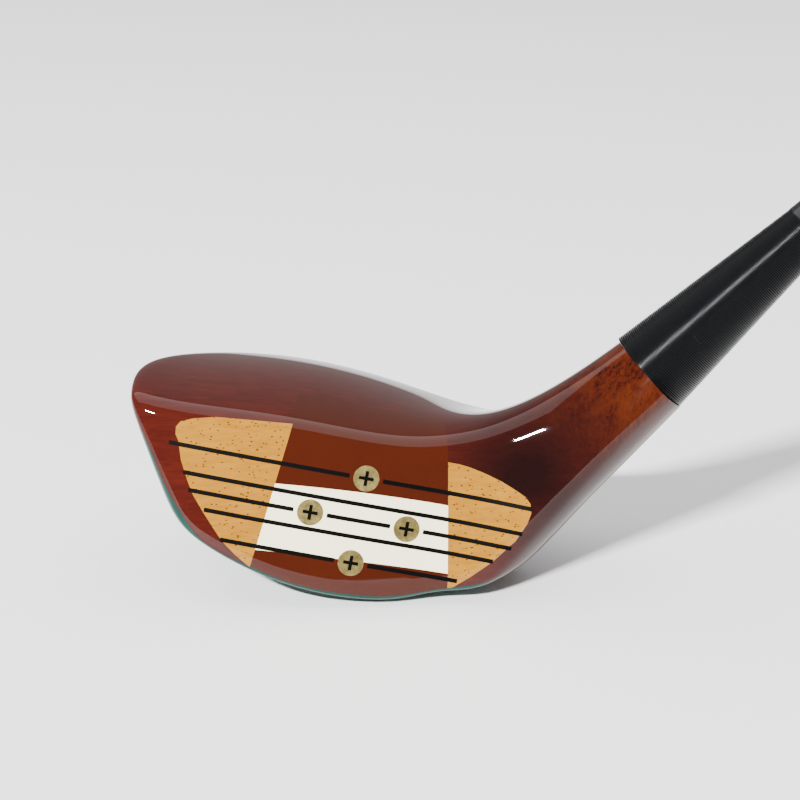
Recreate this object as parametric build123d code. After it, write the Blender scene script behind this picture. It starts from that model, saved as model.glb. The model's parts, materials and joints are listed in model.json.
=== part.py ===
from build123d import *
import math
import os
import numpy as np

os.makedirs("parts", exist_ok=True)

# A right-handed wooden fairway club, in millimetres.
# The club is drawn in its address frame: x runs from toe to heel, y from the face to the back, z up from
# the ground. At the end every piece is turned toe up by TOE_UP and set down on the floor, z = 0.

# driving dimensions of the club
CLUB_LENGTH = 1092.0        # ground to butt, along the shaft
LOFT = 16.0                 # face leans back, degrees
LIE = 56.0                  # shaft above the ground at address, degrees
TOE_UP = 11.58              # how far the club has rolled onto its heel, degrees
FACE_CENTRE_HEIGHT = 18.0
FACE_RADIUS = 280.0         # bulge and roll
HEEL_START, HEEL_SWELL = 14.0, 0.0102   # where the face begins to swell into the neck, and how fast
AXIS_X, AXIS_Y = 19.95, 13.5            # where the shaft's axis meets the ground

# crown: a shallow dome, flatter at its ends
CROWN_TOP, CROWN_X, CROWN_Y = 39.11, -14.5, 31.55
CROWN_CURVE_X, CROWN_CURVE_Y, CROWN_FLARE = 0.00314, 0.00352, 0.88e-6
# sole: a camber from toe to heel and a lesser one from front to back
SOLE_LOW, SOLE_X, SOLE_Y = -2.44, -3.1, 15.0
SOLE_CURVE_X, SOLE_CURVE_Y = 0.00599, 0.003
# side wall: an oval whose lower part draws in towards the sole
WALL_X, WALL_Y, WALL_HALF_X, WALL_HALF_Y = -11.53, 20.77, 43.6, 46.08
WALL_POWER, WALL_LEAN, WALL_LEAN_BACK, WALL_MID = 2.234, 0.583, 0.233, 25.0
# how softly the surfaces run into each other
CROWN_BLEND, SOLE_BLEND, FACE_BLEND, NECK_BLEND, NECK_ROOT_BLEND = 6.96, 5.0, 5.0, 43.6, 10.0

# neck, along the shaft's axis from the ground
NECK_ROOT, NECK_SHOULDER, NECK_END = 12.0, 77.4, 112.0
NECK_RADIUS, NECK_TAPER = 9.28, 0.0802  # of the cone that the neck grows from
WHIP_RADIUS, WHIP_TAPER, WHIP_END, WHIP_THICK = 11.14, 0.0938, 128.0, 0.6
COLLAR_END = 144.0

# shaft: a stepped steel tube
SHAFT_TIP, SHAFT_TIP_RADIUS, SHAFT_BUTT_RADIUS, SHAFT_WALL = 24.0, 4.6, 7.62, 0.5
FIRST_STEP, STEP_LENGTH, STEP_COUNT = 320.0, 35.0, 14
GRIP_START, GRIP_COLLAR, CAP_THICK = 832.0, 11.0, 8.0
UNDERLISTING_THIN, UNDERLISTING_THICK, WRAP_THICK = 1.0, 3.9, 1.4

# face insert: three layers in one pocket, slightly wider at the bottom
INSERT_DEPTH, CLEAR_OF_FACE = 17.5, 12.0
PAST_INSERT_TOP, PAST_INSERT_LOW, PAST_CROWN = 14.0, 16.0, 45.0
INSERT_LEFT_TOP, INSERT_LEFT_LOW = (-19.7, 20.2), (-23.7, -15.6)
INSERT_RIGHT_TOP, INSERT_RIGHT_LOW = (18.9, 17.7), (24.7, -14.3)
BAND_UPPER_EDGE = [(-32.0, 4.2), (0.0, 6.9), (32.0, 7.2)]
BAND_LOWER_EDGE = [(-32.0, -12.0), (0.0, -9.8), (32.0, -8.9)]
FACE_SCREWS = {"top": (0.0, 10.4), "toe": (-11.85, 0.0), "heel": (11.85, 0.0), "bottom": (0.0, -10.4)}
FACE_SCREW_HEAD, FACE_SCREW_SHANK, FACE_SCREW_LENGTH, FACE_SCREW_SINK = 3.15, 1.6, 22.0, 0.03

# sole plate: all that lies under this line, drawn in x and z
PLATE_EDGE = [(34.6, 9.2), (22.7, 5.0), (13.4, 1.9), (1.3, 0.3), (-13.5, 0.5), (-26.2, 3.0),
              (-36.6, 6.4), (-42.2, 11.2), (-48.6, 18.5), (-53.6, 25.6), (-64.0, 32.5)]
SOLE_SCREWS = {"toe": (-31.0, 10.0), "middle": (-24.0, 26.0), "heel": (29.5, 12.0), "rear": (12.0, 34.0)}
SOLE_SCREW_HEAD, SOLE_SCREW_SHANK, SOLE_SCREW_LENGTH, SOLE_SCREW_SINK = 3.6, 1.9, 13.0, 0.3
LEAD_X, LEAD_Y, LEAD_RADIUS, LEAD_TOP = -4.0, 30.0, 7.0, 12.0
PIN_ALONG, PIN_RADIUS, PLUG_LENGTH = 92.0, 1.2, 30.0
CAP_SCREW_HEAD, CAP_SCREW_SHANK, CAP_SCREW_LENGTH = 3.2, 1.7, 24.0

# the head's cross-sections: upright ones from the toe, then a fan that turns up into the neck
TOE_END = Vector(-59.77, 23.5, 34.25)   # the toe's foremost point, a hair outside the wood
TOE_INSETS = (0.12, 0.7, 2.0, 4.2, 7.5, 12.0, 18.0, 25.0, 33.0, 42.0, 51.0, 60.0, 69.0)
BODY_CORE, CORE_SETTLE = 20.0, 9.0      # y and z of the body's core line, and how fast it gets there
FAN_X, FAN_Z, FAN_SECTIONS = 20.0, 86.0, 9
SECTION_POINTS, SEARCH_REACH, SEARCH_STEPS = 72, 75.0, 26
SKIN_TOLERANCE = 0.1
axis_way = np.array([math.cos(math.radians(LIE)), 0.0, math.sin(math.radians(LIE))])
axis_foot = np.array([AXIS_X, AXIS_Y, 0.0])


def soft_max(a, b, width):
    """The larger of two fields, rounded where they are within width of each other."""
    near = np.maximum(width - np.abs(a - b), 0.0) / width
    return np.maximum(a, b) + near ** 3 * width / 6


def head_field(p):
    """About the distance from points p to the head's surface, negative inside the wood."""
    x, y, z = p[..., 0], p[..., 1], p[..., 2]
    dx, dy = x - CROWN_X, y - CROWN_Y
    dome = CROWN_TOP - CROWN_CURVE_X * dx ** 2 - CROWN_CURVE_Y * dy ** 2 + CROWN_FLARE * dx ** 4
    crown = (z - dome) / np.sqrt(1 + (2 * CROWN_CURVE_X * dx) ** 2 + (2 * CROWN_CURVE_Y * dy) ** 2)
    sx, sy = x - SOLE_X, y - SOLE_Y
    camber = SOLE_LOW + SOLE_CURVE_X * sx ** 2 + SOLE_CURVE_Y * sy ** 2
    sole = (camber - z) / np.sqrt(1 + (2 * SOLE_CURVE_X * sx) ** 2 + (2 * SOLE_CURVE_Y * sy) ** 2)
    half_x = np.maximum(WALL_HALF_X + WALL_LEAN * (z - WALL_MID), 5.0)
    half_y = np.maximum(WALL_HALF_Y + WALL_LEAN_BACK * (z - WALL_MID), 5.0)
    oval = np.abs((x - WALL_X) / half_x) ** WALL_POWER + np.abs((y - WALL_Y) / half_y) ** WALL_POWER
    wall = ((oval + 1e-12) ** (1 / WALL_POWER) - 1) * np.minimum(half_x, half_y) * 0.97
    loft = math.radians(LOFT)
    ball = np.array([0.0, FACE_RADIUS * math.cos(loft), FACE_CENTRE_HEIGHT - FACE_RADIUS * math.sin(loft)])
    face = np.sqrt(((p - ball) ** 2).sum(-1)) - FACE_RADIUS
    front = face - HEEL_SWELL * np.maximum(x - HEEL_START, 0.0) ** 2
    body = soft_max(crown, wall, CROWN_BLEND)
    along = (p - axis_foot) @ axis_way
    away = np.sqrt(np.maximum(((p - axis_foot) ** 2).sum(-1) - along ** 2, 1e-9))
    neck = away - (NECK_RADIUS + (NECK_SHOULDER - along) * NECK_TAPER)
    neck = soft_max(neck, NECK_ROOT - along, NECK_ROOT_BLEND)
    joined = soft_max(-soft_max(-body, -neck, NECK_BLEND), front, FACE_BLEND)
    return soft_max(joined, sole, SOLE_BLEND)


def section(centre, across, up):
    """Points of the head's outline in the plane through centre; the last point is the first again."""
    turn = np.linspace(0, 2 * math.pi, SECTION_POINTS, endpoint=False)
    way = np.cos(turn)[:, None] * across + np.sin(turn)[:, None] * up
    low, high = np.zeros(SECTION_POINTS), np.full(SECTION_POINTS, SEARCH_REACH)
    for _ in range(SEARCH_STEPS):
        mid = (low + high) / 2
        inside = head_field(centre + mid[:, None] * way) < 0
        low, high = np.where(inside, mid, low), np.where(inside, high, mid)
    outline = centre + low[:, None] * way
    return [Vector(*p) for p in outline] + [Vector(*outline[0])]


def head_sections():
    """Cross-sections of the whole head, from the toe's end to the neck's shoulder."""
    along_y, along_z = np.array([0.0, 1.0, 0.0]), np.array([0.0, 0.0, 1.0])
    outlines = []
    for inset in TOE_INSETS:
        settled = 1 - math.exp(-inset / CORE_SETTLE)
        y = TOE_END.Y + (BODY_CORE - TOE_END.Y) * settled
        z = TOE_END.Z + (BODY_CORE - TOE_END.Z) * settled
        outlines.append(section(np.array([TOE_END.X + inset, y, z]), along_y, along_z))
    fan_line = np.array([FAN_X, 0.0, FAN_Z])
    fan_end = float((fan_line - axis_foot) @ axis_way)
    neck_reach = float(np.linalg.norm((axis_foot + fan_end * axis_way - fan_line)[[0, 2]]))
    for share in np.linspace(0, 1, FAN_SECTIONS):
        angle = math.radians(LIE) * share
        up = np.array([-math.sin(angle), 0.0, math.cos(angle)])
        reach = (FAN_Z - BODY_CORE) * (1 - share) + neck_reach * share
        core_y = BODY_CORE * (1 - share) + AXIS_Y * share
        outlines.append(section(np.array([FAN_X, core_y, FAN_Z]) - reach * up, along_y, up))
    for along in ((fan_end + NECK_SHOULDER) / 2, NECK_SHOULDER):
        outlines.append(section(axis_foot + along * axis_way, along_y, up))
    return outlines


def on_axis(shape):
    """A shape drawn about +Z, put on the shaft's axis with z measured from the ground."""
    turned = shape.rotate(Axis.Y, 90 - LIE)
    return turned.moved(Location((AXIS_X, AXIS_Y, 0)))


def turned_piece(profile):
    """A solid turned about the shaft's axis from corner points (radius, distance along the axis)."""
    outline = Polyline(*[(radius, 0, along) for radius, along in profile], close=True)
    return on_axis(revolve(make_face(outline), Axis.Z))


def screw(head, shank, length):
    """A countersunk screw along -Z with its head's top at z = 0, and the hole that it fills."""
    rim, cone = 0.7, head - shank
    profile = [(0, 0), (head, 0), (head, -rim), (shank, -rim - cone), (shank, -length + 2 * shank),
               (0, -length)]
    body = revolve(make_face(Polyline(*[(r, 0, z) for r, z in profile], close=True)), Axis.Z)
    recess_depth, recess_width, recess_span = 1.5, 0.26 * head, 1.16 * head
    cross = Box(recess_span, recess_width, 2 * recess_depth)
    cross += Box(recess_width, recess_span, 2 * recess_depth)
    return body - cross, body


# the head's blank, the neck under the whipping, and the shaft's bore
skin = Face.make_surface_from_array_of_points(head_sections(), tol=SKIN_TOLERANCE, min_deg=3, max_deg=3)
ends = [edge for edge in skin.edges() if edge.is_closed]
blank = Solid(Shell([skin] + [Face(Wire([edge])) for edge in ends]))
neck_base = WHIP_RADIUS - WHIP_THICK
neck_top = neck_base - (NECK_END - NECK_SHOULDER) * WHIP_TAPER
neck_tenon = turned_piece([(0, NECK_SHOULDER - 2), (neck_base, NECK_SHOULDER - 2), (neck_base, NECK_SHOULDER),
                           (neck_top, NECK_END), (0, NECK_END)])
bore = turned_piece([(0, SHAFT_TIP), (SHAFT_TIP_RADIUS, SHAFT_TIP), (SHAFT_TIP_RADIUS, NECK_END + 1),
                     (0, NECK_END + 1)])

# face plane: x to the heel, y up the face, z out of it
tilt = math.radians(LOFT)
face_plane = Plane(origin=(0, 0, FACE_CENTRE_HEIGHT), x_dir=(1, 0, 0),
                   z_dir=(0, -math.cos(tilt), math.sin(tilt)))


def beyond(point, other, reach):
    """The point that lies past point on the line from other."""
    way = (Vector(*point) - Vector(*other)).normalized()
    return tuple(Vector(*point) + way * reach)[:2]


def face_prism(*edges):
    """A prism through the face inside these edges, from the insert's floor to well outside."""
    floor = Face(Wire(list(edges))).moved(Location((0, 0, -INSERT_DEPTH)))
    return extrude(face_plane * floor, INSERT_DEPTH + CLEAR_OF_FACE, dir=face_plane.z_dir)


corners = [beyond(INSERT_LEFT_TOP, INSERT_LEFT_LOW, PAST_INSERT_TOP),
           beyond(INSERT_RIGHT_TOP, INSERT_RIGHT_LOW, PAST_INSERT_TOP),
           beyond(INSERT_RIGHT_LOW, INSERT_RIGHT_TOP, PAST_INSERT_LOW),
           beyond(INSERT_LEFT_LOW, INSERT_LEFT_TOP, PAST_INSERT_LOW)]
insert_prism = face_prism(*[Edge.make_line(a, b) for a, b in zip(corners, corners[1:] + corners[:1])])


def layer_above(edge_points):
    """A prism over everything that lies above a gently arched line on the face."""
    left, middle, right = edge_points
    lower = Edge.make_three_point_arc(left, middle, right)
    far = [(right[0], PAST_CROWN), (left[0], PAST_CROWN)]
    return face_prism(lower, Edge.make_line(right, far[0]), Edge.make_line(far[0], far[1]),
                      Edge.make_line(far[1], left))


# the sole plate's upper surface is ruled straight from front to back
RULE_START, RULE_LENGTH, UNDER_SOLE, PAST_TOE = -30, 130, -30, -80
plate_points = [Vector(x, RULE_START, z) for x, z in PLATE_EDGE]
first, last = plate_points[0], plate_points[-1]
plate_corners = [last, Vector(PAST_TOE, RULE_START, last.Z), Vector(PAST_TOE, RULE_START, UNDER_SOLE),
                 Vector(first.X, RULE_START, UNDER_SOLE), first]
plate_sides = [Edge.make_line(a, b) for a, b in zip(plate_corners, plate_corners[1:])]
plate_profile = Face(Wire([Edge.make_spline(plate_points)] + plate_sides))
under_plate_line = extrude(plate_profile, RULE_LENGTH, dir=(0, 1, 0))

pieces = {}
wood = blank + neck_tenon - bore
plate = blank & under_plate_line
wood = wood - under_plate_line
insert = wood & insert_prism
wood = wood - insert_prism
upper, below = insert & layer_above(BAND_UPPER_EDGE), insert - layer_above(BAND_UPPER_EDGE)
band, lower = below & layer_above(BAND_LOWER_EDGE), below - layer_above(BAND_LOWER_EDGE)

# face screws, flush with the bulged face
above_head = Cylinder(FACE_SCREW_HEAD, 4, align=(Align.CENTER, Align.CENTER, Align.MIN))
for name, (x, v) in FACE_SCREWS.items():
    whole, hole = screw(FACE_SCREW_HEAD, FACE_SCREW_SHANK, FACE_SCREW_LENGTH)
    sink = (x * x + v * v) / (2 * FACE_RADIUS) + FACE_SCREW_SINK
    place = face_plane.location * Location((x, v, -sink))
    pieces["face_screw_" + name] = whole.moved(place)
    hole = (hole + above_head).moved(place)
    upper, band, lower, wood = upper - hole, band - hole, lower - hole, wood - hole

# lead slug, flush with the floor of the sole recess
slug = Location((LEAD_X, LEAD_Y, 0)) * Cylinder(LEAD_RADIUS, 2 * LEAD_TOP)
slug = slug - under_plate_line
wood = wood - slug
pieces["lead_weight"] = slug

# sole screws, square to the camber, their heads just below it
above_head = Cylinder(SOLE_SCREW_HEAD, 6, align=(Align.CENTER, Align.CENTER, Align.MIN))
for name, (x, y) in SOLE_SCREWS.items():
    whole, hole = screw(SOLE_SCREW_HEAD, SOLE_SCREW_SHANK, SOLE_SCREW_LENGTH)
    dx, dy = x - SOLE_X, y - SOLE_Y
    camber = SOLE_LOW + SOLE_CURVE_X * dx ** 2 + SOLE_CURVE_Y * dy ** 2
    outward = Vector(2 * SOLE_CURVE_X * dx, 2 * SOLE_CURVE_Y * dy, -1).normalized()
    place = Plane(origin=Vector(x, y, camber) - outward * SOLE_SCREW_SINK, z_dir=outward).location
    pieces["sole_screw_" + name] = whole.moved(place)
    hole = (hole + above_head).moved(place)
    plate, wood = plate - hole, wood - hole

# the pin that locks the shaft, under the whipping
pin_reach = neck_base - (PIN_ALONG - NECK_SHOULDER) * WHIP_TAPER - 0.25
pin = on_axis(Location((0, 0, PIN_ALONG)) * Rotation(90, 0, 0) * Cylinder(PIN_RADIUS, 2 * pin_reach))
wood = wood - pin

# shaft: parallel tip, steps, parallel butt, hollow all along
shaft_end = CLUB_LENGTH - CAP_THICK
step = (SHAFT_BUTT_RADIUS - SHAFT_TIP_RADIUS) / STEP_COUNT
outside = [(SHAFT_TIP_RADIUS, SHAFT_TIP)]
for number in range(STEP_COUNT):
    at = FIRST_STEP + number * STEP_LENGTH
    outside.append((SHAFT_TIP_RADIUS + number * step, at))
    outside.append((SHAFT_TIP_RADIUS + (number + 1) * step, at + 1.2))
outside.append((SHAFT_BUTT_RADIUS, shaft_end))
inside = [(radius - SHAFT_WALL, along) for radius, along in reversed(outside)]
shaft = turned_piece(outside + inside) - pin

# whipping and the collar above it
whip_end_radius = WHIP_RADIUS - (WHIP_END - NECK_SHOULDER) * WHIP_TAPER
collar_base = whip_end_radius - WHIP_THICK
whipping = turned_piece([(neck_base, NECK_SHOULDER), (WHIP_RADIUS, NECK_SHOULDER),
                         (whip_end_radius, WHIP_END),
                         (collar_base, WHIP_END), (neck_top, NECK_END)])
collar = turned_piece([(SHAFT_TIP_RADIUS, NECK_END), (neck_top, NECK_END), (collar_base, WHIP_END),
                       (whip_end_radius, WHIP_END), (whip_end_radius - 0.2, WHIP_END + 3),
                       (SHAFT_TIP_RADIUS + 0.5, COLLAR_END), (SHAFT_TIP_RADIUS, COLLAR_END)])
tip_inside = SHAFT_TIP_RADIUS - SHAFT_WALL
tip_plug = turned_piece([(0, SHAFT_TIP), (tip_inside, SHAFT_TIP), (tip_inside, SHAFT_TIP + PLUG_LENGTH),
                         (0, SHAFT_TIP + PLUG_LENGTH)])

# grip: a cork-like taper on the shaft, a leather strip wound over it, a collar and an end cap
liner_start, liner_end = SHAFT_BUTT_RADIUS + UNDERLISTING_THIN, SHAFT_BUTT_RADIUS + UNDERLISTING_THICK
underlisting = turned_piece([(SHAFT_BUTT_RADIUS, GRIP_START), (liner_start, GRIP_START),
                             (liner_end, shaft_end), (SHAFT_BUTT_RADIUS, shaft_end)])
grip_wrap = turned_piece([(liner_start, GRIP_START), (liner_start + WRAP_THICK, GRIP_START),
                          (liner_end + WRAP_THICK, shaft_end), (liner_end, shaft_end)])
collar_foot = GRIP_START - GRIP_COLLAR
grip_collar = turned_piece([(SHAFT_BUTT_RADIUS, collar_foot), (SHAFT_BUTT_RADIUS + 0.6, collar_foot),
                            (liner_start + WRAP_THICK + 0.5, GRIP_START - 3),
                            (liner_start + WRAP_THICK + 0.5, GRIP_START), (SHAFT_BUTT_RADIUS, GRIP_START)])
cap_radius = liner_end + WRAP_THICK + 0.6
butt_cap = turned_piece([(0, shaft_end), (cap_radius, shaft_end), (cap_radius, CLUB_LENGTH - 2.5),
                         (cap_radius - 2.5, CLUB_LENGTH), (0, CLUB_LENGTH)])
butt_inside = SHAFT_BUTT_RADIUS - SHAFT_WALL
butt_plug = turned_piece([(0, shaft_end - PLUG_LENGTH), (butt_inside, shaft_end - PLUG_LENGTH),
                          (butt_inside, shaft_end), (0, shaft_end)])
cap_screw, hole = screw(CAP_SCREW_HEAD, CAP_SCREW_SHANK, CAP_SCREW_LENGTH)
above_head = Cylinder(CAP_SCREW_HEAD, 4, align=(Align.CENTER, Align.CENTER, Align.MIN))
place = Location((0, 0, CLUB_LENGTH - 0.5))
hole = on_axis((hole + above_head).moved(place))
pieces["cap_screw"] = on_axis(cap_screw.moved(place))

pieces.update(head_block=wood, sole_plate=plate, face_insert_upper=upper, face_insert_band=band,
              face_insert_lower=lower, neck_pin=pin, shaft=shaft, shaft_tip_plug=tip_plug,
              neck_whipping=whipping, whipping_collar=collar, grip_underlisting=underlisting,
              grip_wrap=grip_wrap, grip_lower_collar=grip_collar, butt_cap=butt_cap - hole,
              butt_plug=butt_plug - hole)

# roll the club onto its heel and stand it on the floor, the origin where the sole touches
rolled_skin = blank.rotate(Axis.Y, TOE_UP).faces().sort_by(SortBy.AREA)[-1]
shares = np.linspace(0, 1, 81)
touch = min((rolled_skin.position_at(u, v) for u in shares for v in shares), key=lambda point: point.Z)
print("the sole touches the floor at", touch)
for name, piece in pieces.items():
    export_step(piece.rotate(Axis.Y, TOE_UP).moved(Location(-touch)), f"parts/{name}.step")
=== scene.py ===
import json
import math

import bmesh
import bpy
import numpy as np
from mathutils import Matrix, Vector


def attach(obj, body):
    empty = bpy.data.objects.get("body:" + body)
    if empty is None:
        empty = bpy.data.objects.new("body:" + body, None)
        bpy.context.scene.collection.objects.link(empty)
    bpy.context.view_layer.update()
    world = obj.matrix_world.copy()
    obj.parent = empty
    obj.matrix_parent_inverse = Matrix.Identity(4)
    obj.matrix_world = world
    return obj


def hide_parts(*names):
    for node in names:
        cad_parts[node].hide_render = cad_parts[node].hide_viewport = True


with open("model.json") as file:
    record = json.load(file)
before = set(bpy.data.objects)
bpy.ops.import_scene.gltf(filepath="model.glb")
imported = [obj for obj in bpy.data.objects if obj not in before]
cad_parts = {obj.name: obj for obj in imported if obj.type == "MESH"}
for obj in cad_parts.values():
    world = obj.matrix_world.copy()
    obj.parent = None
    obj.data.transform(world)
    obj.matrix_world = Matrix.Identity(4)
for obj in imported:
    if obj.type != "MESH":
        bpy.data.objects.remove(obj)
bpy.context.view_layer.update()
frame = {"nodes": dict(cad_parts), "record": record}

# ---------------------------------------------------------------------------------------------
# The club, in millimetres, in its address frame: x toe to heel, y face to back, z up from the
# ground. Everything is turned into the row's frame at the end, by to_row.
# ---------------------------------------------------------------------------------------------
CLUB_LENGTH, LOFT, LIE, TOE_UP = 1092.0, 16.0, 56.0, 11.58
FACE_CENTRE_HEIGHT, FACE_RADIUS, HEEL_START, HEEL_SWELL = 18.0, 280.0, 14.0, 0.0102
AXIS_X, AXIS_Y = 19.95, 13.5
CROWN_TOP, CROWN_X, CROWN_Y = 39.11, -14.5, 31.55
CROWN_CURVE_X, CROWN_CURVE_Y, CROWN_FLARE = 0.00314, 0.00352, 0.88e-6
SOLE_LOW, SOLE_X, SOLE_Y = -2.44, -3.1, 15.0
SOLE_CURVE_X, SOLE_CURVE_Y = 0.00599, 0.003
WALL_X, WALL_Y, WALL_HALF_X, WALL_HALF_Y = -11.53, 20.77, 43.6, 46.08
WALL_POWER, WALL_LEAN, WALL_LEAN_BACK, WALL_MID = 2.234, 0.583, 0.233, 25.0
CROWN_BLEND, SOLE_BLEND, FACE_BLEND, NECK_BLEND, NECK_ROOT_BLEND = 6.96, 5.0, 5.0, 43.6, 10.0
NECK_ROOT, NECK_SHOULDER = 12.0, 77.4
NECK_RADIUS, NECK_TAPER = 9.28, 0.0802
WHIP_RADIUS, WHIP_TAPER, WHIP_END = 11.14, 0.0938, 128.0
INSERT_DEPTH = 17.5
INSERT_LEFT_TOP, INSERT_LEFT_LOW = (-19.7, 20.2), (-23.7, -15.6)
INSERT_RIGHT_TOP, INSERT_RIGHT_LOW = (18.9, 17.7), (24.7, -14.3)
BAND_UPPER_EDGE = [(-32.0, 4.2), (0.0, 6.9), (32.0, 7.2)]
BAND_LOWER_EDGE = [(-32.0, -12.0), (0.0, -9.8), (32.0, -8.9)]
FACE_SCREWS = [(0.0, 10.4), (-11.85, 0.0), (11.85, 0.0), (0.0, -10.4)]
FACE_SCREW_HEAD = 3.15
SOLE_SCREWS, SOLE_SCREW_HEAD = [(-31.0, 10.0), (-24.0, 26.0), (29.5, 12.0), (12.0, 34.0)], 3.6
PLATE_EDGE = [(34.6, 9.2), (22.7, 5.0), (13.4, 1.9), (1.3, 0.3), (-13.5, 0.5), (-26.2, 3.0),
              (-36.6, 6.4), (-42.2, 11.2), (-48.6, 18.5), (-53.6, 25.6), (-64.0, 32.5)]
# the unstained wood of the face: outlines in x and height up the face
TAN_TOE = [(-46.9, 12.6), (-47.1, 14.4), (-46.3, 15.8), (-43.6, 17.0), (-38.3, 18.4), (-30.0, 19.2),
           (-19.0, 20.2),
           (-23.0, -16.2), (-27.7, -13.4), (-31.4, -10.7), (-34.0, -8.0), (-37.1, -4.6), (-40.2, -1.0),
           (-42.2, 2.3), (-44.5, 6.7), (-46.0, 11.3)]
TAN_HEEL = [(18.0, 17.7), (21.9, 17.7), (24.5, 17.4), (28.4, 16.6), (32.4, 15.5), (36.0, 14.1),
            (38.4, 13.0), (39.8, 11.6), (40.4, 9.4), (40.0, 6.8), (38.1, 2.0), (33.6, -4.2), (29.4, -8.6),
            (26.8, -11.0), (24.0, -14.0), (20.0, -14.5)]
# score lines: height up the face, and the stretches between the screws
LINE_WIDTH, LINE_DEPTH, PAINT_SUNK, RECESS_PAINT_DEPTH = 1.06, 0.35, 0.05, 0.25
HEEL_SHADE_CENTRE = (38.0, 3.5, 36.0)     # centre of the painted shade that darkens the stain in the hollow between the face and the neck
SCORE_LINES = {10.4: [(-48.1, -4.1), (4.1, 40.5)], 4.0: [(-43.5, 39.3)],
               0.0: [(-41.5, -15.9), (-7.8, 7.8), (15.9, 37.5)], -4.0: [(-37.0, 33.8)],
               -10.4: [(-31.9, -4.1), (4.1, 26.3)]}

roll, loft, lie = (math.radians(angle) for angle in (TOE_UP, LOFT, LIE))
axis_way = np.array([math.cos(lie), 0.0, math.sin(lie)])
axis_foot = np.array([AXIS_X, AXIS_Y, 0.0])
face_out = np.array([0.0, -math.cos(loft), math.sin(loft)])
face_up = np.array([0.0, math.sin(loft), math.cos(loft)])
face_centre = np.array([0.0, 0.0, FACE_CENTRE_HEIGHT])
turn_up = np.array([[math.cos(roll), 0.0, math.sin(roll)], [0.0, 1.0, 0.0],
                    [-math.sin(roll), 0.0, math.cos(roll)]])

# the row's frame: the end of the club is where the record's butt mount says
butt = next(m for m in frame["record"]["mounts"] if m["name"] == "butt_rest")
BUTT_MOUNT_UP = 6.6     # how far above the axis that mount lies
axis_up = np.array([-axis_way[2], 0.0, axis_way[0]])
shift = np.array(butt["pos_m"]) * 1000 - turn_up @ (axis_foot + CLUB_LENGTH * axis_way
                                                     + BUTT_MOUNT_UP * axis_up)


def to_row(points):
    """Club points in millimetres to the row's frame in metres."""
    return (np.asarray(points) @ turn_up.T + shift) / 1000


def soft_max(a, b, width):
    near = np.maximum(width - np.abs(a - b), 0.0) / width
    return np.maximum(a, b) + near ** 3 * width / 6


def head_field(p):
    """About the distance from points p to the head's surface, negative inside the wood."""
    x, y, z = p[..., 0], p[..., 1], p[..., 2]
    dx, dy = x - CROWN_X, y - CROWN_Y
    dome = CROWN_TOP - CROWN_CURVE_X * dx ** 2 - CROWN_CURVE_Y * dy ** 2 + CROWN_FLARE * dx ** 4
    crown = (z - dome) / np.sqrt(1 + (2 * CROWN_CURVE_X * dx) ** 2 + (2 * CROWN_CURVE_Y * dy) ** 2)
    sx, sy = x - SOLE_X, y - SOLE_Y
    camber = SOLE_LOW + SOLE_CURVE_X * sx ** 2 + SOLE_CURVE_Y * sy ** 2
    sole = (camber - z) / np.sqrt(1 + (2 * SOLE_CURVE_X * sx) ** 2 + (2 * SOLE_CURVE_Y * sy) ** 2)
    half_x = np.maximum(WALL_HALF_X + WALL_LEAN * (z - WALL_MID), 5.0)
    half_y = np.maximum(WALL_HALF_Y + WALL_LEAN_BACK * (z - WALL_MID), 5.0)
    oval = np.abs((x - WALL_X) / half_x) ** WALL_POWER + np.abs((y - WALL_Y) / half_y) ** WALL_POWER
    wall = ((oval + 1e-12) ** (1 / WALL_POWER) - 1) * np.minimum(half_x, half_y) * 0.97
    ball = face_centre - FACE_RADIUS * face_out
    face = np.sqrt(((p - ball) ** 2).sum(-1)) - FACE_RADIUS
    front = face - HEEL_SWELL * np.maximum(x - HEEL_START, 0.0) ** 2
    body = soft_max(crown, wall, CROWN_BLEND)
    along = (p - axis_foot) @ axis_way
    away = np.sqrt(np.maximum(((p - axis_foot) ** 2).sum(-1) - along ** 2, 1e-9))
    neck = away - (NECK_RADIUS + (NECK_SHOULDER - along) * NECK_TAPER)
    neck = soft_max(neck, NECK_ROOT - along, NECK_ROOT_BLEND)
    joined = soft_max(-soft_max(-body, -neck, NECK_BLEND), front, FACE_BLEND)
    return soft_max(joined, sole, SOLE_BLEND)


def field_normal(p):
    step = 0.02
    slope = [head_field(p + step * e) - head_field(p - step * e) for e in np.eye(3)]
    slope = np.stack(slope, -1)
    return slope / np.linalg.norm(slope, axis=-1, keepdims=True)


# ---------------------------------------------------------------------------------------------
# mesh helpers
# ---------------------------------------------------------------------------------------------
def new_object(name, points, faces, smooth=True):
    """An object from club points in millimetres."""
    mesh = bpy.data.meshes.new(name)
    mesh.from_pydata(to_row(points).tolist(), [], faces)
    mesh.validate()
    mesh.polygons.foreach_set("use_smooth", [smooth] * len(mesh.polygons))
    piece = bpy.data.objects.new(name, mesh)
    bpy.context.scene.collection.objects.link(piece)
    return piece


def grid_faces(rows, columns):
    faces = []
    for r in range(rows - 1):
        for c in range(columns):
            d = (c + 1) % columns
            faces.append((r * columns + c, r * columns + d, (r + 1) * columns + d, (r + 1) * columns + c))
    return faces


def outline_rows(centres, ups, count):
    """Points of the head's outlines in the planes through centres, found along rays."""
    turn = np.linspace(0, 2 * math.pi, count, endpoint=False)
    across = np.array([0.0, 1.0, 0.0])
    way = np.cos(turn)[None, :, None] * across + np.sin(turn)[None, :, None] * ups[:, None, :]
    low, high = np.zeros(way.shape[:2]), np.full(way.shape[:2], 75.0)
    for _ in range(34):
        mid = (low + high) / 2
        inside = head_field(centres[:, None, :] + mid[..., None] * way) < 0
        low, high = np.where(inside, mid, low), np.where(inside, high, mid)
    return centres[:, None, :] + low[..., None] * way


BODY_CORE, FAN_X, FAN_Z, SETTLE = 20.0, 20.0, 86.0, 9.0
BODY_ROWS, FAN_ROWS, NECK_ROWS, AROUND = 150, 84, 8, 400


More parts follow.
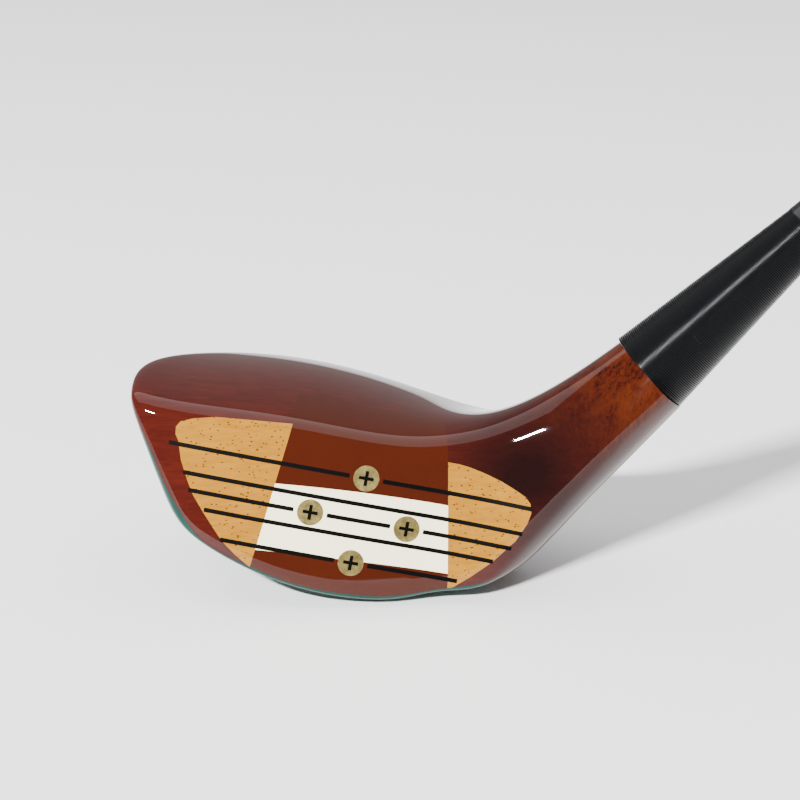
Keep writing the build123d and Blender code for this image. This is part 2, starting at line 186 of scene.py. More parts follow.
def head_skin(name, sunk=0.0):
    """The whole head as one closed skin, sunk below its true surface if asked."""
    y, z = np.meshgrid(np.arange(10, 45, 0.25), np.arange(24, 42, 0.25), indexing="ij")
    low, high = np.full_like(y, -75.0), np.full_like(y, -40.0)
    for _ in range(30):
        mid = (low + high) / 2
        inside = head_field(np.stack([mid, y, z], -1)) < 0
        low, high = np.where(inside, low, mid), np.where(inside, mid, high)
    at = np.unravel_index(high.argmin(), high.shape)
    toe = np.array([high[at], y[at], z[at]])
    inset = 0.01 + (FAN_X - toe[0] - 0.01) * np.linspace(0, 1, BODY_ROWS) ** 1.7
    settled = (1 - np.exp(-inset / SETTLE))[:, None]
    core = toe + (np.array([0.0, BODY_CORE, BODY_CORE]) - toe) * settled
    core[:, 0] = toe[0] + inset
    ups = np.tile([0.0, 0.0, 1.0], (BODY_ROWS, 1))
    share = np.linspace(0, 1, FAN_ROWS + 1)[1:]
    angle = lie * share
    fan_ups = np.stack([-np.sin(angle), 0 * angle, np.cos(angle)], -1)
    fan_line = np.array([FAN_X, 0.0, FAN_Z])
    fan_end = float((fan_line - axis_foot) @ axis_way)
    neck_reach = float(np.linalg.norm((axis_foot + fan_end * axis_way - fan_line)[[0, 2]]))
    reach = (FAN_Z - BODY_CORE) * (1 - share) + neck_reach * share
    fan_core = np.array([FAN_X, 0.0, FAN_Z]) - reach[:, None] * fan_ups
    fan_core[:, 1] = BODY_CORE * (1 - share) + AXIS_Y * share
    along = np.linspace(fan_end, NECK_SHOULDER, NECK_ROWS + 1)[1:]
    neck_core = axis_foot + along[:, None] * axis_way
    centres = np.concatenate([core, fan_core, neck_core])
    ups = np.concatenate([ups, fan_ups, np.tile(axis_up, (NECK_ROWS, 1))])
    rows = outline_rows(centres, ups, AROUND)
    skin = rows.reshape(-1, 3)
    if sunk:
        skin = skin - sunk * field_normal(skin)
    count = len(centres)
    points = np.concatenate([skin, [toe], [centres[-1]]])
    faces = grid_faces(count, AROUND)
    first, last, base = len(skin), len(skin) + 1, (count - 1) * AROUND
    for c in range(AROUND):
        d = (c + 1) % AROUND
        faces.append((first, d, c))
        faces.append((last, base + c, base + d))
    return new_object(name, points, faces)


def over_face(x, v, height):
    """The point at x, v and a height above the flat plane through the face's centre."""
    return face_centre + np.array([x, 0.0, 0.0]) + v * face_up + height * face_out


def on_face(x, v, depth):
    """The point at x, v on the face, depth below its true surface."""
    low, high = -12.0, 16.0
    for _ in range(24):
        mid = (low + high) / 2
        low, high = (mid, high) if head_field(over_face(x, v, mid)) < 0 else (low, mid)
    return over_face(x, v, low - depth)


def face_prism(name, outline, depth, out):
    """A closed prism through the face, with a flat floor."""
    floor = [over_face(x, v, -depth) for x, v in outline]
    roof = [over_face(x, v, out) for x, v in outline]
    count = len(outline)
    sides = [(k, (k + 1) % count, (k + 1) % count + count, k + count) for k in range(count)]
    return closed(new_object(name, np.array(floor + roof), sides + [tuple(range(count))[::-1],
                  tuple(range(count, 2 * count))], smooth=False))


def closed(piece):
    """Triangulated, with its faces turned outwards."""
    shape = bmesh.new()
    shape.from_mesh(piece.data)
    bmesh.ops.triangulate(shape, faces=shape.faces[:])
    bmesh.ops.recalc_face_normals(shape, faces=shape.faces[:])
    shape.to_mesh(piece.data)
    shape.free()
    return piece


def strip_prism(name, start, end, v, width, depth, out):
    """A shallow bar across the face that follows its bulge."""
    xs = np.linspace(start, end, max(4, int((end - start) / 1.5)))
    rows = []
    for x in xs:
        corners = [(v - width / 2, depth), (v + width / 2, depth),
                   (v + width / 2, -out), (v - width / 2, -out)]
        rows.append([on_face(x, height, down) for height, down in corners])
    points = np.array(rows).reshape(-1, 3)
    faces = grid_faces(len(xs), 4)
    base = (len(xs) - 1) * 4
    ends = [(0, 1, 2, 3), (base + 3, base + 2, base + 1, base)]
    return closed(new_object(name, points, faces + ends, smooth=False))


def arc_points(left, middle, right, count=25):
    """Points of the circle through three points, from left to right."""
    (ax, ay), (bx, by), (cx, cy) = left, middle, right
    det = 2 * (ax * (by - cy) + bx * (cy - ay) + cx * (ay - by))
    sa, sb, sc = ax * ax + ay * ay, bx * bx + by * by, cx * cx + cy * cy
    ox = (sa * (by - cy) + sb * (cy - ay) + sc * (ay - by)) / det
    oy = (sa * (cx - bx) + sb * (ax - cx) + sc * (bx - ax)) / det
    a0, a1 = math.atan2(ay - oy, ax - ox), math.atan2(cy - oy, cx - ox)
    size = math.hypot(ax - ox, ay - oy)
    return [(ox + size * math.cos(a), oy + size * math.sin(a)) for a in np.linspace(a0, a1, count)]


def beyond(point, other, reach):
    gap = math.hypot(point[0] - other[0], point[1] - other[1])
    return tuple(p + (p - o) / gap * reach for p, o in zip(point, other))


def carve(name, base, steps):
    """A new object: base cut in turn by (operation, cutter)."""
    piece = bpy.data.objects.new(name, base.data.copy())
    bpy.context.scene.collection.objects.link(piece)
    for operation, cutter in steps:
        cut = piece.modifiers.new("cut", "BOOLEAN")
        cut.operation, cut.object, cut.solver = operation, cutter, "MANIFOLD"
    graph = bpy.context.evaluated_depsgraph_get()
    mesh = bpy.data.meshes.new_from_object(piece.evaluated_get(graph))
    piece.modifiers.clear()
    piece.data = mesh
    mesh.name = name
    return piece


def true_normals(piece):
    """Shades the pieces of the head's surface by the exact surface, and the cut faces flat."""
    mesh = piece.data
    count = len(mesh.vertices)
    co = np.empty(count * 3)
    mesh.vertices.foreach_get("co", co)
    club = (co.reshape(-1, 3) * 1000 - shift) @ turn_up
    surface = np.abs(head_field(club)) < 0.12
    exact = field_normal(club) @ turn_up.T
    loops = np.empty(len(mesh.loops), int)
    mesh.loops.foreach_get("vertex_index", loops)
    starts, totals = np.empty(len(mesh.polygons), int), np.empty(len(mesh.polygons), int)
    mesh.polygons.foreach_get("loop_start", starts)
    mesh.polygons.foreach_get("loop_total", totals)
    flat = np.empty(len(mesh.polygons) * 3)
    mesh.polygons.foreach_get("normal", flat)
    flat = np.repeat(flat.reshape(-1, 3), totals, axis=0)
    order = np.concatenate([np.arange(s, s + t) for s, t in zip(starts, totals)])
    loop_flat = np.empty_like(flat)
    loop_flat[order] = flat
    use = surface[loops] & ((exact[loops] * loop_flat).sum(1) > 0.8)
    mesh.polygons.foreach_set("use_smooth", [True] * len(mesh.polygons))
    mesh.normals_split_custom_set(np.where(use[:, None], exact[loops], loop_flat).tolist())


# ---------------------------------------------------------------------------------------------
# camera: a near view of the face, from a little above it
# ---------------------------------------------------------------------------------------------
VIEW_AZIMUTH, VIEW_ELEVATION, VIEW_DISTANCE = 2.08, 19.5, 418.3
VIEW_LEFT, VIEW_BELOW, FOCAL = 9.99, 29.16, 78.1
FRAME_CENTRE = turn_up @ face_centre + shift


def add_camera():
    a, e = math.radians(VIEW_AZIMUTH), math.radians(VIEW_ELEVATION)
    right = np.array([math.cos(a), -math.sin(a), 0.0])
    back = np.array([-math.sin(a) * math.cos(e), -math.cos(a) * math.cos(e), math.sin(e)])
    up = np.cross(back, right)
    place = FRAME_CENTRE + VIEW_LEFT * right + VIEW_BELOW * up + VIEW_DISTANCE * back
    data = bpy.data.cameras.new("camera")
    data.lens, data.sensor_width, data.clip_start = FOCAL, 36.0, 0.01
    camera = bpy.data.objects.new("camera", data)
    matrix = np.eye(4)
    matrix[:3, 0], matrix[:3, 1], matrix[:3, 2], matrix[:3, 3] = right, up, back, place / 1000
    camera.matrix_world = Matrix(matrix.tolist())
    bpy.context.scene.collection.objects.link(camera)
    bpy.context.scene.camera = camera


# ---------------------------------------------------------------------------------------------
# shader helpers
# ---------------------------------------------------------------------------------------------
class Shader:
    """A material being built: short calls for the nodes that these materials use."""

    def __init__(self, name, **sockets):
        self.material = bpy.data.materials.new(name)
        self.material.use_nodes = True
        self.tree = self.material.node_tree
        self.surface = self.tree.nodes["Principled BSDF"]
        for socket, value in sockets.items():
            self.surface.inputs[socket.replace("_", " ")].default_value = value
        self.place = self.node("ShaderNodeTexCoord").outputs["Object"]

    def node(self, kind, **settings):
        made = self.tree.nodes.new(kind)
        for key, value in settings.items():
            setattr(made, key, value)
        return made

    def feed(self, socket, value):
        if isinstance(value, bpy.types.NodeSocket):
            self.tree.links.new(value, socket)
        else:
            socket.default_value = value

    def math(self, operation, a, b):
        made = self.node("ShaderNodeMath", operation=operation)
        for socket, value in zip(made.inputs, (a, b)):
            self.feed(socket, value)
        return made.outputs[0]

    def mapped(self, rotation, scale):
        made = self.node("ShaderNodeMapping")
        self.feed(made.inputs["Vector"], self.place)
        made.inputs["Rotation"].default_value = rotation
        made.inputs["Scale"].default_value = scale
        return made.outputs[0]

    def noise(self, vector, scale, detail=4.0, rough=0.5, distortion=0.0):
        made = self.node("ShaderNodeTexNoise")
        self.feed(made.inputs["Vector"], vector)
        made.inputs["Scale"].default_value = scale
        made.inputs["Detail"].default_value = detail
        made.inputs["Roughness"].default_value = rough
        made.inputs["Distortion"].default_value = distortion
        return made.outputs["Fac"]

    def cells(self, vector, scale):
        made = self.node("ShaderNodeTexVoronoi")
        self.feed(made.inputs["Vector"], vector)
        made.inputs["Scale"].default_value = scale
        return made.outputs["Distance"]

    def ramp(self, value, *stops):
        made = self.node("ShaderNodeValToRGB")
        self.feed(made.inputs["Fac"], value)
        elements = made.color_ramp.elements
        while len(elements) < len(stops):
            elements.new(0.5)
        for element, (at, colour) in zip(elements, stops):
            element.position = at
            grey = isinstance(colour, (int, float))
            element.color = (colour, colour, colour, 1) if grey else (*colour, 1)
        return made.outputs["Color"]

    def mix(self, share, a, b, blend="MIX"):
        made = self.node("ShaderNodeMix", data_type="RGBA", blend_type=blend)
        self.feed(made.inputs[0], share)
        for socket, value in ((made.inputs[6], a), (made.inputs[7], b)):
            self.feed(socket, (*value, 1) if isinstance(value, tuple) else value)
        return made.outputs[2]

    def bump(self, height, distance, strength=1.0, socket="Normal"):
        made = self.node("ShaderNodeBump")
        made.inputs["Strength"].default_value = strength
        made.inputs["Distance"].default_value = distance
        self.feed(made.inputs["Height"], height)
        self.feed(self.surface.inputs[socket], made.outputs[0])

    def colour(self, value):
        self.feed(self.surface.inputs["Base Color"], value)

    def rough(self, value):
        self.feed(self.surface.inputs["Roughness"], value)


VARNISH = {"Coat_Weight": 1.0, "Coat_Roughness": 0.025, "Coat_IOR": 1.36, "Specular_IOR_Level": 0.0}
axis_row = turn_up @ axis_way
NECK_TURN = (0.0, math.pi / 2 - (lie - roll), 0.0)
GRAIN_TURN = (0.0, roll, 0.0)      # turns row coordinates back so that the grain runs from toe to heel


def stained_wood():
    """Close-grained wood under a deep red-brown stain and a thick gloss varnish."""
    s = Shader("stained_wood", Roughness=0.38, **VARNISH)
    along = s.mapped(GRAIN_TURN, (9, 60, 60))
    fibre = s.noise(along, 9, 6, 0.62, 0.4)
    streak = s.noise(s.mapped(GRAIN_TURN, (14, 420, 420)), 4, 3, 0.6)
    cloud = s.noise(s.place, 26, 3, 0.5)
    base = s.ramp(fibre, (0.22, (0.034, 0.0034, 0.0018)), (0.5, (0.050, 0.0056, 0.0026)),
                  (0.80, (0.070, 0.0088, 0.0034)))
    dark = s.ramp(streak, (0.34, 0.72), (0.56, 1.0))
    base = s.mix(1.0, base, dark, "MULTIPLY")
    base = s.mix(s.math("MULTIPLY", cloud, 0.5), base, (0.034, 0.0034, 0.0026))
    # the stain is thin on the neck, where the wood shows orange-brown with dark flecks
    split = s.node("ShaderNodeSeparateXYZ")
    s.feed(split.inputs[0], s.place)
    up_neck = s.math("ADD", s.math("MULTIPLY", split.outputs[0], axis_row[0]),
                     s.math("MULTIPLY", split.outputs[2], axis_row[2]))
    share = s.node("ShaderNodeMapRange", interpolation_type="SMOOTHSTEP")
    s.feed(share.inputs["Value"], up_neck)
    top = float(np.dot(to_row(axis_foot + NECK_SHOULDER * axis_way), axis_row))
    share.inputs["From Min"].default_value = top - 0.034
    share.inputs["From Max"].default_value = top - 0.004
    neck_noise = s.noise(s.mapped(NECK_TURN, (420, 420, 70)), 3.2, 6, 0.72, 0.6)
    flame = s.noise(s.mapped(NECK_TURN, (70, 70, 24)), 2.4, 4, 0.6, 0.8)
    neck = s.ramp(neck_noise, (0.38, (0.006, 0.0008, 0.0005)), (0.50, (0.030, 0.0034, 0.0009)),
                  (0.68, (0.056, 0.0080, 0.0016)))
    neck = s.mix(s.ramp(flame, (0.42, 0.0), (0.66, 0.7)), neck, (0.066, 0.0120, 0.0022))
    base = s.mix(share.outputs[0], base, neck)
    # painted shade: the stain is darkened to nearly black in the hollow between the face and the neck, where
    # shade falls
    hollow = s.node("ShaderNodeVectorMath", operation="DISTANCE")
    s.feed(hollow.inputs[0], s.place)
    hollow.inputs[1].default_value = tuple(to_row(HEEL_SHADE_CENTRE))
    painted_shade_reach = s.math("ADD", hollow.outputs["Value"], s.math("MULTIPLY", cloud, 0.012))
    # the painted shade's nearly black colour is mixed over the wood here
    s.colour(s.mix(s.ramp(painted_shade_reach, (0.012, 0.92), (0.036, 0.0)), base, (0.0035, 0.0007, 0.0007)))
    s.bump(s.noise(s.place, 55, 2), 0.00004, 0.25, "Coat Normal")
    return s.material


def bare_wood():
    """The unstained face: honey-coloured wood with small dark pores under varnish."""
    s = Shader("bare_wood", Roughness=0.42, **VARNISH)
    fibre = s.noise(s.mapped(GRAIN_TURN, (30, 190, 190)), 5, 6, 0.6, 0.3)
    base = s.ramp(fibre, (0.25, (0.225, 0.092, 0.0060)), (0.5, (0.275, 0.118, 0.0085)),
                  (0.8, (0.32, 0.146, 0.014)))
    pores = s.cells(s.mapped(GRAIN_TURN, (700, 1150, 1150)), 1.0)
    thin = s.noise(s.place, 260, 2)
    edge = s.math("ADD", pores, s.math("MULTIPLY", thin, 0.16))
    spot = s.math("GREATER_THAN", s.math("SUBTRACT", 0.27, edge), 0.0)
    s.colour(s.mix(s.math("MULTIPLY", spot, 0.85), base, (0.03, 0.008, 0.002)))
    return s.material


def glossy_layer(name, deep, light):
    """A dense insert layer: nearly even colour, slightly clouded, under the same varnish."""
    s = Shader(name, Roughness=0.35, **VARNISH)
    s.colour(s.mix(s.noise(s.place, 90, 4, 0.6), deep, light))
    s.bump(s.noise(s.place, 70, 2), 0.00003, 0.2, "Coat Normal")
    return s.material


def score_paint():
    s = Shader("score_paint", Roughness=0.5, Specular_IOR_Level=0.03)
    s.colour(s.mix(s.noise(s.place, 900, 3), (0.0008, 0.0008, 0.0008), (0.0022, 0.0020, 0.0018)))
    return s.material


def old_brass():
    """Dull olive brass with darker stains."""
    s = Shader("old_brass", Metallic=1.0, Coat_Weight=0.5, Coat_Roughness=0.08)
    stain = s.noise(s.place, 420, 5, 0.65)
    s.colour(s.ramp(stain, (0.3, (0.12, 0.088, 0.026)), (0.52, (0.23, 0.178, 0.060)),
                    (0.75, (0.33, 0.265, 0.10))))
    s.rough(s.ramp(s.noise(s.place, 1500, 4), (0.3, 0.34), (0.7, 0.55)))
    s.bump(s.noise(s.place, 2600, 3), 0.00002, 0.4)
    return s.material


def green_metal():
    """Anodised aluminium of an uneven tone, brushed from front to back."""
    s = Shader("green_metal", Metallic=0.85)
    brush = s.noise(s.mapped((0, 0, 0), (1400, 30, 1400)), 1.0, 4, 0.6)
    worn = s.noise(s.place, 130, 5, 0.6)
    tone = s.ramp(worn, (0.3, (0.006, 0.046, 0.036)), (0.7, (0.012, 0.070, 0.054)))
    s.colour(s.mix(s.math("MULTIPLY", brush, 0.35), tone, (0.020, 0.075, 0.062)))
    s.rough(s.ramp(brush, (0.3, 0.24), (0.7, 0.40)))
    s.bump(brush, 0.00002, 0.35)
    return s.material


def black_thread():
    """Waxed whipping thread: nearly black, with a soft sheen."""
    s = Shader("black_thread", Specular_IOR_Level=0.16, Roughness=0.17)
    s.colour(s.mix(s.noise(s.place, 600, 3, 0.6), (0.0003, 0.0004, 0.0006), (0.0010, 0.0013, 0.0018)))
    return s.material


def black_plastic():
    s = Shader("black_plastic", Specular_IOR_Level=0.5)
    s.colour(s.mix(s.noise(s.place, 300, 4), (0.0016, 0.0016, 0.0018), (0.0042, 0.0040, 0.0040)))
    s.rough(s.ramp(s.noise(s.place, 700, 4), (0.3, 0.16), (0.7, 0.30)))
    return s.material


def chrome_steel():
    s = Shader("chrome_steel", Metallic=1.0)
    s.colour(s.mix(s.noise(s.place, 60, 4), (0.60, 0.60, 0.61), (0.72, 0.72, 0.73)))
    s.rough(s.ramp(s.noise(s.place, 900, 4), (0.3, 0.08), (0.7, 0.16)))
    return s.material


def plain_steel():
    s = Shader("plain_steel", Metallic=1.0)
    s.colour(s.mix(s.noise(s.place, 500, 4), (0.42, 0.41, 0.39), (0.58, 0.57, 0.55)))
    s.rough(s.ramp(s.noise(s.place, 1800, 4), (0.3, 0.25), (0.7, 0.42)))
    return s.material


def grip_leather():
    """Dark leather: pebbled grain, paler where hands have rubbed it."""
    s = Shader("grip_leather", Specular_IOR_Level=0.4)
    worn = s.noise(s.place, 45, 5, 0.6)
    s.colour(s.ramp(worn, (0.3, (0.018, 0.011, 0.008)), (0.6, (0.04, 0.024, 0.017)),
                    (0.85, (0.085, 0.05, 0.033))))
    s.rough(s.ramp(worn, (0.3, 0.62), (0.8, 0.45)))
    s.bump(s.cells(s.place, 1100), 0.00012, 0.5)
    return s.material


def cork():
    s = Shader("cork", Roughness=0.8)
    s.colour(s.ramp(s.cells(s.place, 700), (0.1, (0.12, 0.06, 0.03)), (0.6, (0.42, 0.27, 0.15))))
    return s.material


def dull_lead():
    s = Shader("dull_lead", Metallic=0.8, Roughness=0.6)
    s.colour(s.mix(s.noise(s.place, 300, 5), (0.16, 0.165, 0.18), (0.30, 0.30, 0.32)))
    return s.material


def plug_wood():
    s = Shader("plug_wood", Roughness=0.6)
    s.colour(s.ramp(s.noise(s.mapped((0, 0, 0), (60, 400, 60)), 4, 5), (0.3, (0.36, 0.22, 0.10)),
                    (0.7, (0.58, 0.40, 0.22))))
    return s.material


def wear(piece, material):
    """Gives a piece one material."""
    piece.data.materials.clear()
    piece.data.materials.append(material)


def dress(node, material):
    """Gives a CAD node's object one material."""
    for slot in frame["nodes"][node].material_slots:
        slot.material = material


# ---------------------------------------------------------------------------------------------
# the head: one exact skin, cut into the pieces that it is made of
# ---------------------------------------------------------------------------------------------
def finish_piece(piece, material, slot, *nodes):
    wear(piece, material)
    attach(piece, "root")
    if nodes:
        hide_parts(*nodes)


def cylinder_cutter(name, x, v, radius, depth):
    turn = np.linspace(0, 2 * math.pi, 65)[:-1]
    ring = [(x + radius * math.cos(a), v + radius * math.sin(a)) for a in turn]
    return face_prism(name, ring, depth, 4.0)


SOLE_SINK_DEPTH, SOLE_SINK_OUT = 1.1, 5.0


def sole_cutter(x, y):
    """The countersink of a sole screw, square to the camber."""
    dx, dy = x - SOLE_X, y - SOLE_Y
    camber = SOLE_LOW + SOLE_CURVE_X * dx ** 2 + SOLE_CURVE_Y * dy ** 2
    outward = np.array([2 * SOLE_CURVE_X * dx, 2 * SOLE_CURVE_Y * dy, -1.0])
    outward /= np.linalg.norm(outward)
    across = np.cross(outward, [0.0, 1.0, 0.0])
    across /= np.linalg.norm(across)
    around = np.cross(outward, across)
    turn = np.linspace(0, 2 * math.pi, 65)[:-1]
    ring = (SOLE_SCREW_HEAD + 0.03) * (np.cos(turn)[:, None] * across + np.sin(turn)[:, None] * around)
    centre = np.array([x, y, camber])
    ends = [centre + ring - SOLE_SINK_DEPTH * outward, centre + ring + SOLE_SINK_OUT * outward]
    count = len(turn)
    sides = [(k, (k + 1) % count, (k + 1) % count + count, k + count) for k in range(count)]
    caps = [tuple(range(count))[::-1], tuple(range(count, 2 * count))]
    return closed(new_object("sole_cutter", np.concatenate(ends), sides + caps, smooth=False))


def plate_cutter():
    """All that lies under the plate's line, from front to back."""
    xs, zs = np.array(PLATE_EDGE).T
    chord = np.concatenate([[0], np.cumsum(np.hypot(np.diff(xs), np.diff(zs)))])
    fine = np.linspace(0, chord[-1], 90)
    line = np.stack([smooth_curve(chord, xs, fine), smooth_curve(chord, zs, fine)], -1)
    outline = list(line) + [(-90.0, line[-1][1]), (-90.0, -40.0), (PLATE_EDGE[0][0], -40.0)]
    near = [(x, -30.0, z) for x, z in outline]
    far = [(x, 100.0, z) for x, z in outline]
    count = len(outline)
    sides = [(k, (k + 1) % count, (k + 1) % count + count, k + count) for k in range(count)]
    ends = [tuple(range(count))[::-1], tuple(range(count, 2 * count))]
    return closed(new_object("plate_cutter", np.array(near + far), sides + ends, smooth=False))


def smooth_curve(knots, values, fine):
    """A natural cubic spline through values at knots."""
    n = len(knots)
    h = np.diff(knots)
    system, right = np.eye(n), np.zeros(n)
    for k in range(1, n - 1):
        system[k, k - 1:k + 2] = h[k - 1], 2 * (h[k - 1] + h[k]), h[k]
        right[k] = 6 * ((values[k + 1] - values[k]) / h[k] - (values[k] - values[k - 1]) / h[k - 1])
    bend = np.linalg.solve(system, right)
    k = np.clip(np.searchsorted(knots, fine) - 1, 0, n - 2)
    left, rest = fine - knots[k], knots[k + 1] - fine
    cubic = (bend[k] * rest ** 3 + bend[k + 1] * left ** 3) / (6 * h[k])
    from_left = (values[k] / h[k] - bend[k] * h[k] / 6) * rest
    from_right = (values[k + 1] / h[k] - bend[k + 1] * h[k] / 6) * left
    return cubic + (from_left + from_right)


def build_head():
    skin = head_skin("head_skin")
    sunken = head_skin("sunken_skin", PAINT_SUNK)
    corners = [beyond(INSERT_LEFT_TOP, INSERT_LEFT_LOW, 14), beyond(INSERT_RIGHT_TOP, INSERT_RIGHT_LOW, 14),
               beyond(INSERT_RIGHT_LOW, INSERT_RIGHT_TOP, 16), beyond(INSERT_LEFT_LOW, INSERT_LEFT_TOP, 16)]
    insert = face_prism("insert_cutter", corners, INSERT_DEPTH, 12)
    above = [(32.0, 45.0), (-32.0, 45.0)]
    over_band = face_prism("band_cutter", arc_points(*BAND_UPPER_EDGE) + above, 19, 14)
    over_lower = face_prism("lower_cutter", arc_points(*BAND_LOWER_EDGE) + above, 19, 14)
    plate = plate_cutter()
    toe_side = face_prism("tan_toe_cutter", TAN_TOE, 6, 5)
    heel_side = face_prism("tan_heel_cutter", TAN_HEEL, 5, 12)
    screws = [cylinder_cutter("screw_cutter", x, v, FACE_SCREW_HEAD + 0.02, 3.2) for x, v in FACE_SCREWS]
    grooves = [strip_prism("groove_cutter", start, end, v, LINE_WIDTH, LINE_DEPTH, 3.0)
               for v, stretches in SCORE_LINES.items() for start, end in stretches]
    sunk_heads = [sole_cutter(x, y) for x, y in SOLE_SCREWS]
    sinks = [("DIFFERENCE", cutter) for cutter in sunk_heads]
    minus = [("DIFFERENCE", cutter) for cutter in grooves]
    holes = [("DIFFERENCE", cutter) for cutter in screws]
    no_plate, no_insert = ("DIFFERENCE", plate), ("DIFFERENCE", insert)
    made = {
        "head_wood": (skin, [no_plate, no_insert, ("DIFFERENCE", toe_side), ("DIFFERENCE", heel_side)]
                      + minus),
        "face_wood_toe": (skin, [("INTERSECT", toe_side), no_insert, no_plate] + minus),
        "face_wood_heel": (skin, [("INTERSECT", heel_side), no_insert, no_plate] + minus),
        "insert_upper": (skin, [("INTERSECT", insert), ("INTERSECT", over_band)] + minus + holes),
        "insert_band": (skin, [("INTERSECT", insert), ("DIFFERENCE", over_band), ("INTERSECT", over_lower)]
                        + minus + holes),
        "insert_lower": (skin, [("INTERSECT", insert), ("DIFFERENCE", over_lower), no_plate] + minus + holes),
        "sole_metal": (skin, [("INTERSECT", plate)] + sinks),
    }
    pieces = {name: carve(name, base, steps) for name, (base, steps) in made.items()}
    for number, groove in enumerate(grooves):
        pieces["score_line_%d" % number] = carve("score_line_%d" % number, sunken, [("INTERSECT", groove)])
    for piece in pieces.values():
        true_normals(piece)
    helpers = [skin, sunken, insert, over_band, over_lower, plate, toe_side, heel_side]
    for helper in helpers + screws + grooves + sunk_heads:
        bpy.data.objects.remove(helper)
    stained, bare, paint = stained_wood(), bare_wood(), score_paint()
    brown = glossy_layer("insert_brown", (0.034, 0.0044, 0.0010), (0.042, 0.0062, 0.0014))
    ivory = glossy_layer("insert_ivory", (0.84, 0.79, 0.50), (0.88, 0.84, 0.58))
    finish_piece(pieces["head_wood"], stained, "head_wood", "head_block")
    finish_piece(pieces["face_wood_toe"], bare, "head_wood")
    finish_piece(pieces["face_wood_heel"], bare, "head_wood")
    finish_piece(pieces["insert_upper"], brown, "insert_brown", "face_insert_upper")
    finish_piece(pieces["insert_band"], ivory, "insert_ivory", "face_insert_band")
    finish_piece(pieces["insert_lower"], brown, "insert_brown", "face_insert_lower")
    finish_piece(pieces["sole_metal"], green_metal(), "sole_metal", "sole_plate")
    for name, piece in pieces.items():
        if name.startswith("score_line"):
            finish_piece(piece, paint, "black_plastic")


def fill_recess(number, x, v):
    """Black paint in the bottom of a screw's crossed recess."""
    long, short = 0.57 * FACE_SCREW_HEAD, 0.13 * FACE_SCREW_HEAD
    quarter = [(short, long), (-short, long), (-short, short)]
    cross = [(x + a * math.cos(t) - b * math.sin(t), v + a * math.sin(t) + b * math.cos(t))
             for t in np.arange(4) * math.pi / 2 for a, b in quarter]
    top = RECESS_PAINT_DEPTH + (x * x + v * v) / (2 * FACE_RADIUS)
    paint = face_prism("recess_paint_%d" % number, cross, top + 0.9, -top)
    finish_piece(paint, score_paint(), "black_plastic")


# ---------------------------------------------------------------------------------------------
# whipping: one thread wound round the neck, ring against ring
# ---------------------------------------------------------------------------------------------
THREAD_RADIUS, THREAD_PITCH, THREAD_SUNK = 0.24, 0.48, 0.03


def frame_round_axis(along, angle, radius):
    """The point at an angle and radius about the shaft's axis."""
    side = np.array([0.0, 1.0, 0.0])
    out = np.cos(angle)[..., None] * axis_up + np.sin(angle)[..., None] * side
    return axis_foot + along[..., None] * axis_way + radius[..., None] * out


def build_whipping():
    first, last = NECK_SHOULDER + THREAD_RADIUS, WHIP_END - THREAD_RADIUS
    turns = (last - first) / THREAD_PITCH
    steps, around = int((turns + 2) * 60), 10
    turn = np.linspace(-1, turns + 1, steps)
    uneven = 0.012 * np.sin(turn * 2.39) + 0.010 * np.sin(turn * 5.3 + 1.0)
    along = np.clip(first + turn * THREAD_PITCH + 0.5 * uneven, first, last)
    radius = WHIP_RADIUS - (along - NECK_SHOULDER) * WHIP_TAPER - THREAD_RADIUS - THREAD_SUNK + uneven
    ring = np.linspace(0, 2 * math.pi, around, endpoint=False)
    a = turn[:, None] * 2 * math.pi + 0 * ring
    r = radius[:, None] + THREAD_RADIUS * np.cos(ring)
    t = along[:, None] + THREAD_RADIUS * 1.04 * np.sin(ring)
    points = frame_round_axis(t, a, r).reshape(-1, 3)
    faces = grid_faces(steps, around)
    base = (steps - 1) * around
    faces += [tuple(range(around)), tuple(base + k for k in range(around))[::-1]]
    thread = new_object("whipping_thread", points, faces)
    finish_piece(thread, black_thread(), "whipping_thread", "neck_whipping")


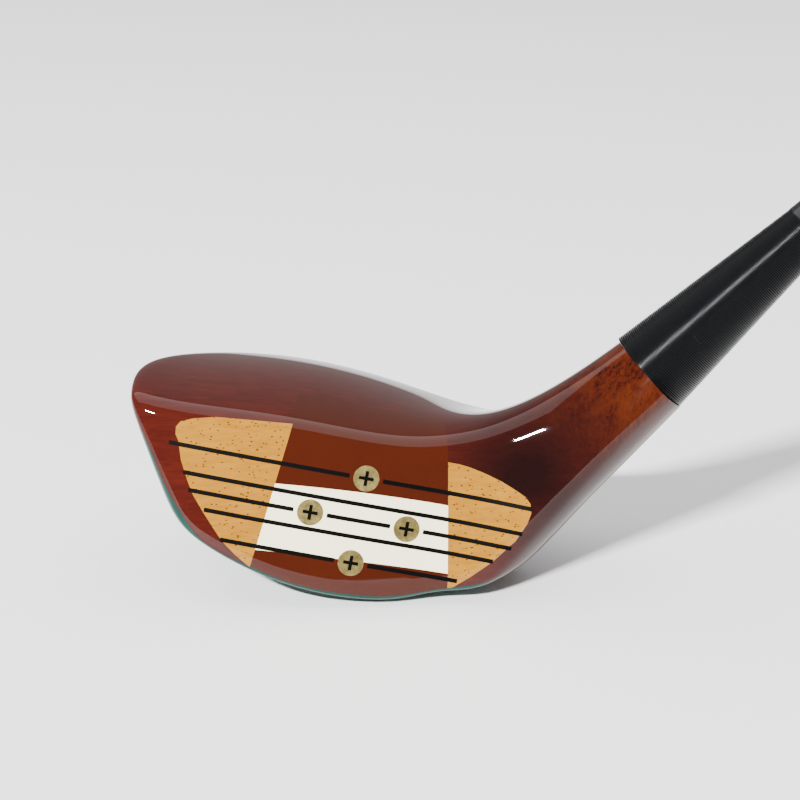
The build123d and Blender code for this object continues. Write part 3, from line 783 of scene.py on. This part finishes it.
# ---------------------------------------------------------------------------------------------
# floor and light
# ---------------------------------------------------------------------------------------------
def add_floor():
    mesh = bpy.data.meshes.new("floor")
    mesh.from_pydata([(-15, -15, 0), (15, -15, 0), (15, 15, 0), (-15, 15, 0)], [], [(0, 1, 2, 3)])
    floor = bpy.data.objects.new("floor", mesh)
    bpy.context.scene.collection.objects.link(floor)
    floor.location.z = -0.0002
    s = Shader("pale_floor", Roughness=0.55)
    s.colour(s.mix(s.noise(s.place, 8, 3), (0.86, 0.86, 0.86), (0.88, 0.88, 0.88)))
    wear(floor, s.material)


def add_softbox(name, azimuth, elevation, distance, size, radiance):
    """A soft rectangular light; azimuth 0 is in front of the face and grows to the right."""
    a, e = math.radians(azimuth), math.radians(elevation)
    way = Vector((math.sin(a) * math.cos(e), -math.cos(a) * math.cos(e), math.sin(e)))
    data = bpy.data.lights.new(name, "AREA")
    data.shape, data.size, data.size_y = "RECTANGLE", size[0], size[1]
    data.energy = radiance * math.pi * size[0] * size[1]
    lamp = bpy.data.objects.new(name, data)
    lamp.location = way * distance
    lamp.rotation_euler = way.to_track_quat("Z", "Y").to_euler()
    bpy.context.scene.collection.objects.link(lamp)


def add_light():
    world = bpy.data.worlds.new("studio")
    world.use_nodes = True
    world.node_tree.nodes["Background"].inputs[0].default_value = (1, 1, 1, 1)
    world.node_tree.nodes["Background"].inputs[1].default_value = 0.4
    bpy.context.scene.world = world
    add_softbox("key", -30, 36.0, 4.0, (0.62, 0.10), 3000)
    add_softbox("ceiling", 180, 78, 4.0, (6.5, 5.0), 2.0)


add_camera()
add_floor()
add_light()
build_head()
for number, (x, v) in enumerate(FACE_SCREWS):
    fill_recess(number, x, v)
build_whipping()
brass, steel, plastic = old_brass(), plain_steel(), black_plastic()
for node in ("face_screw_top", "face_screw_toe", "face_screw_heel", "face_screw_bottom"):
    dress(node, brass)
for node in ("sole_screw_toe", "sole_screw_middle", "sole_screw_heel", "sole_screw_rear",
             "cap_screw", "neck_pin"):
    dress(node, steel)
for node in ("whipping_collar", "grip_lower_collar", "butt_cap"):
    dress(node, plastic)
dress("shaft", chrome_steel())
dress("grip_wrap", grip_leather())
dress("grip_underlisting", cork())
dress("lead_weight", dull_lead())
dress("shaft_tip_plug", plug_wood())
dress("butt_plug", plug_wood())
